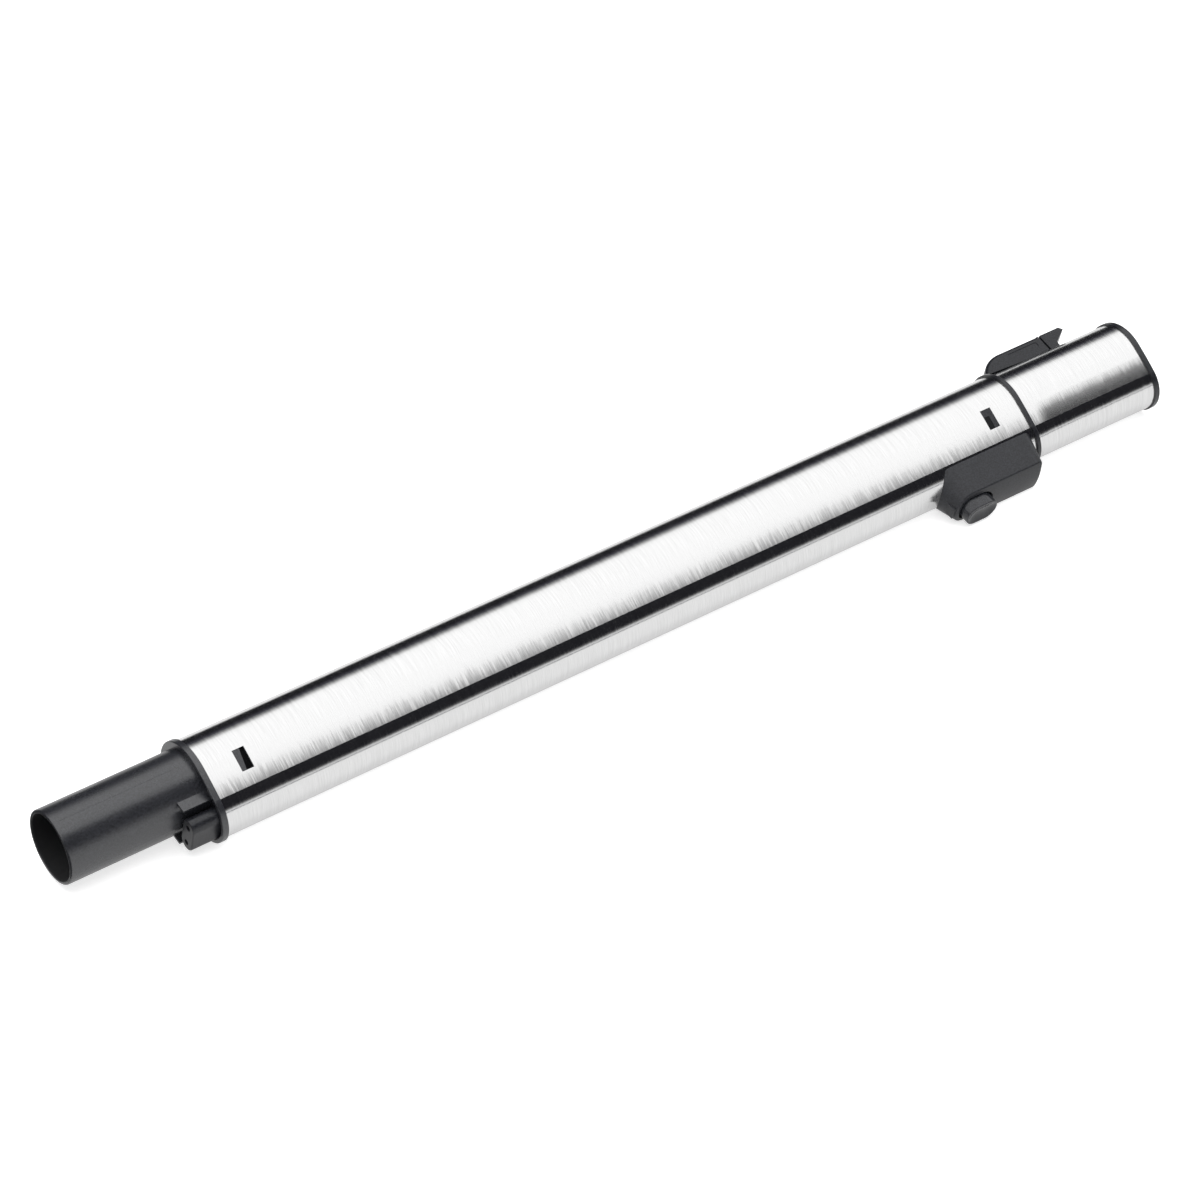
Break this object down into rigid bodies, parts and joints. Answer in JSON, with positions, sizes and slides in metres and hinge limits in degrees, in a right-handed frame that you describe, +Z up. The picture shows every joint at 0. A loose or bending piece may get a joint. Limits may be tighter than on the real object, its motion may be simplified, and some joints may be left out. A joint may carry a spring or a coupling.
{
  "type": "telescopic vacuum wand",
  "caption": "Telescopic steel vacuum wand of egg section with a nozzle spigot and plug, sliding inner tube, release button and handle catch.",
  "frame": {"origin": "centre of the mouth of the nozzle spigot, on the axis of the air path", "axes": "+X along the wand to the handle end, +Z up as the wand lies, -Y to the side of the release housing and a little down"},
  "size_m": [0.6057, 0.0726, 0.0422],
  "materials": {
    "outer_steel": "hairlines around the tube",
    "inner_steel": "hairlines around the tube",
    "nozzle_plastic": "matte, fine texture",
    "ring_plastic": "matte",
    "duct_plastic": "smooth",
    "plug_plastic": "satin",
    "contact_brass": "turned",
    "seal_rubber": "matte",
    "socket_plastic": "matte",
    "lead_jacket": "satin",
    "housing_plastic": "matte, fine texture",
    "button_plastic": "satin",
    "rocker_plastic": "smooth",
    "pin_steel": "turned",
    "spring_steel": "drawn wire",
    "catch_plastic": "matte",
    "plate_plastic": "matte"
  },
  "bodies": {
    "barrel": {"outer_tube": "outer_steel", "nozzle_spigot": "nozzle_plastic", "plug_housing": "plug_plastic", "plug_contact_1": "contact_brass", "plug_contact_2": "contact_brass", "guide_sleeve": "ring_plastic", "fixed_duct": "duct_plastic", "release_housing": "housing_plastic", "rocker_pin": "pin_steel", "lock_spring": "spring_steel", "coiled_lead": "lead_jacket"},
    "inner_wand": {"inner_tube": "inner_steel", "tail_shoe": "ring_plastic", "duct_seal": "seal_rubber", "sliding_duct": "duct_plastic", "handle_socket": "socket_plastic", "inlet_block": "plug_plastic", "inlet_pin_1": "contact_brass", "inlet_pin_2": "contact_brass", "catch_plate": "plate_plastic", "catch_pin": "pin_steel", "catch_spring": "spring_steel"},
    "button": {"release_button": "button_plastic"},
    "rocker": {"lock_rocker": "rocker_plastic"},
    "catch": {"catch_lever": "catch_plastic"}
  },
  "joints": [
    {"name": "telescope", "type": "slide", "parent": "barrel", "child": "inner_wand", "axis": [1, 0, 0], "range_m": [0, 0.35], "deforming": ["coiled_lead"]},
    {"name": "button_press", "type": "slide", "parent": "barrel", "child": "button", "axis": [0, 0.9468, 0.3219], "range_m": [0, 0.0026], "stiffness_N_per_m": 3000, "springref_m": -0.001},
    {"name": "rocker_tilt", "type": "hinge", "parent": "barrel", "child": "rocker", "pos_m": [0.499, -0.03162, -0.01075], "axis": [0, 0.3219, -0.9468], "range_deg": [0, 8.9], "deforming": ["lock_spring"]},
    {"name": "catch_press", "type": "hinge", "parent": "inner_wand", "child": "catch", "pos_m": [0.557, 0.02196, 0.00747], "axis": [0, -0.3219, 0.9468], "range_deg": [0, 3.2], "stiffness_Nm_per_rad": 1, "springref_deg": -1.72, "deforming": ["catch_spring"]}
  ],
  "couplings": [
    {"joint": "rocker_tilt", "follows": "button_press", "rad_per_m": 58.8}
  ]
}
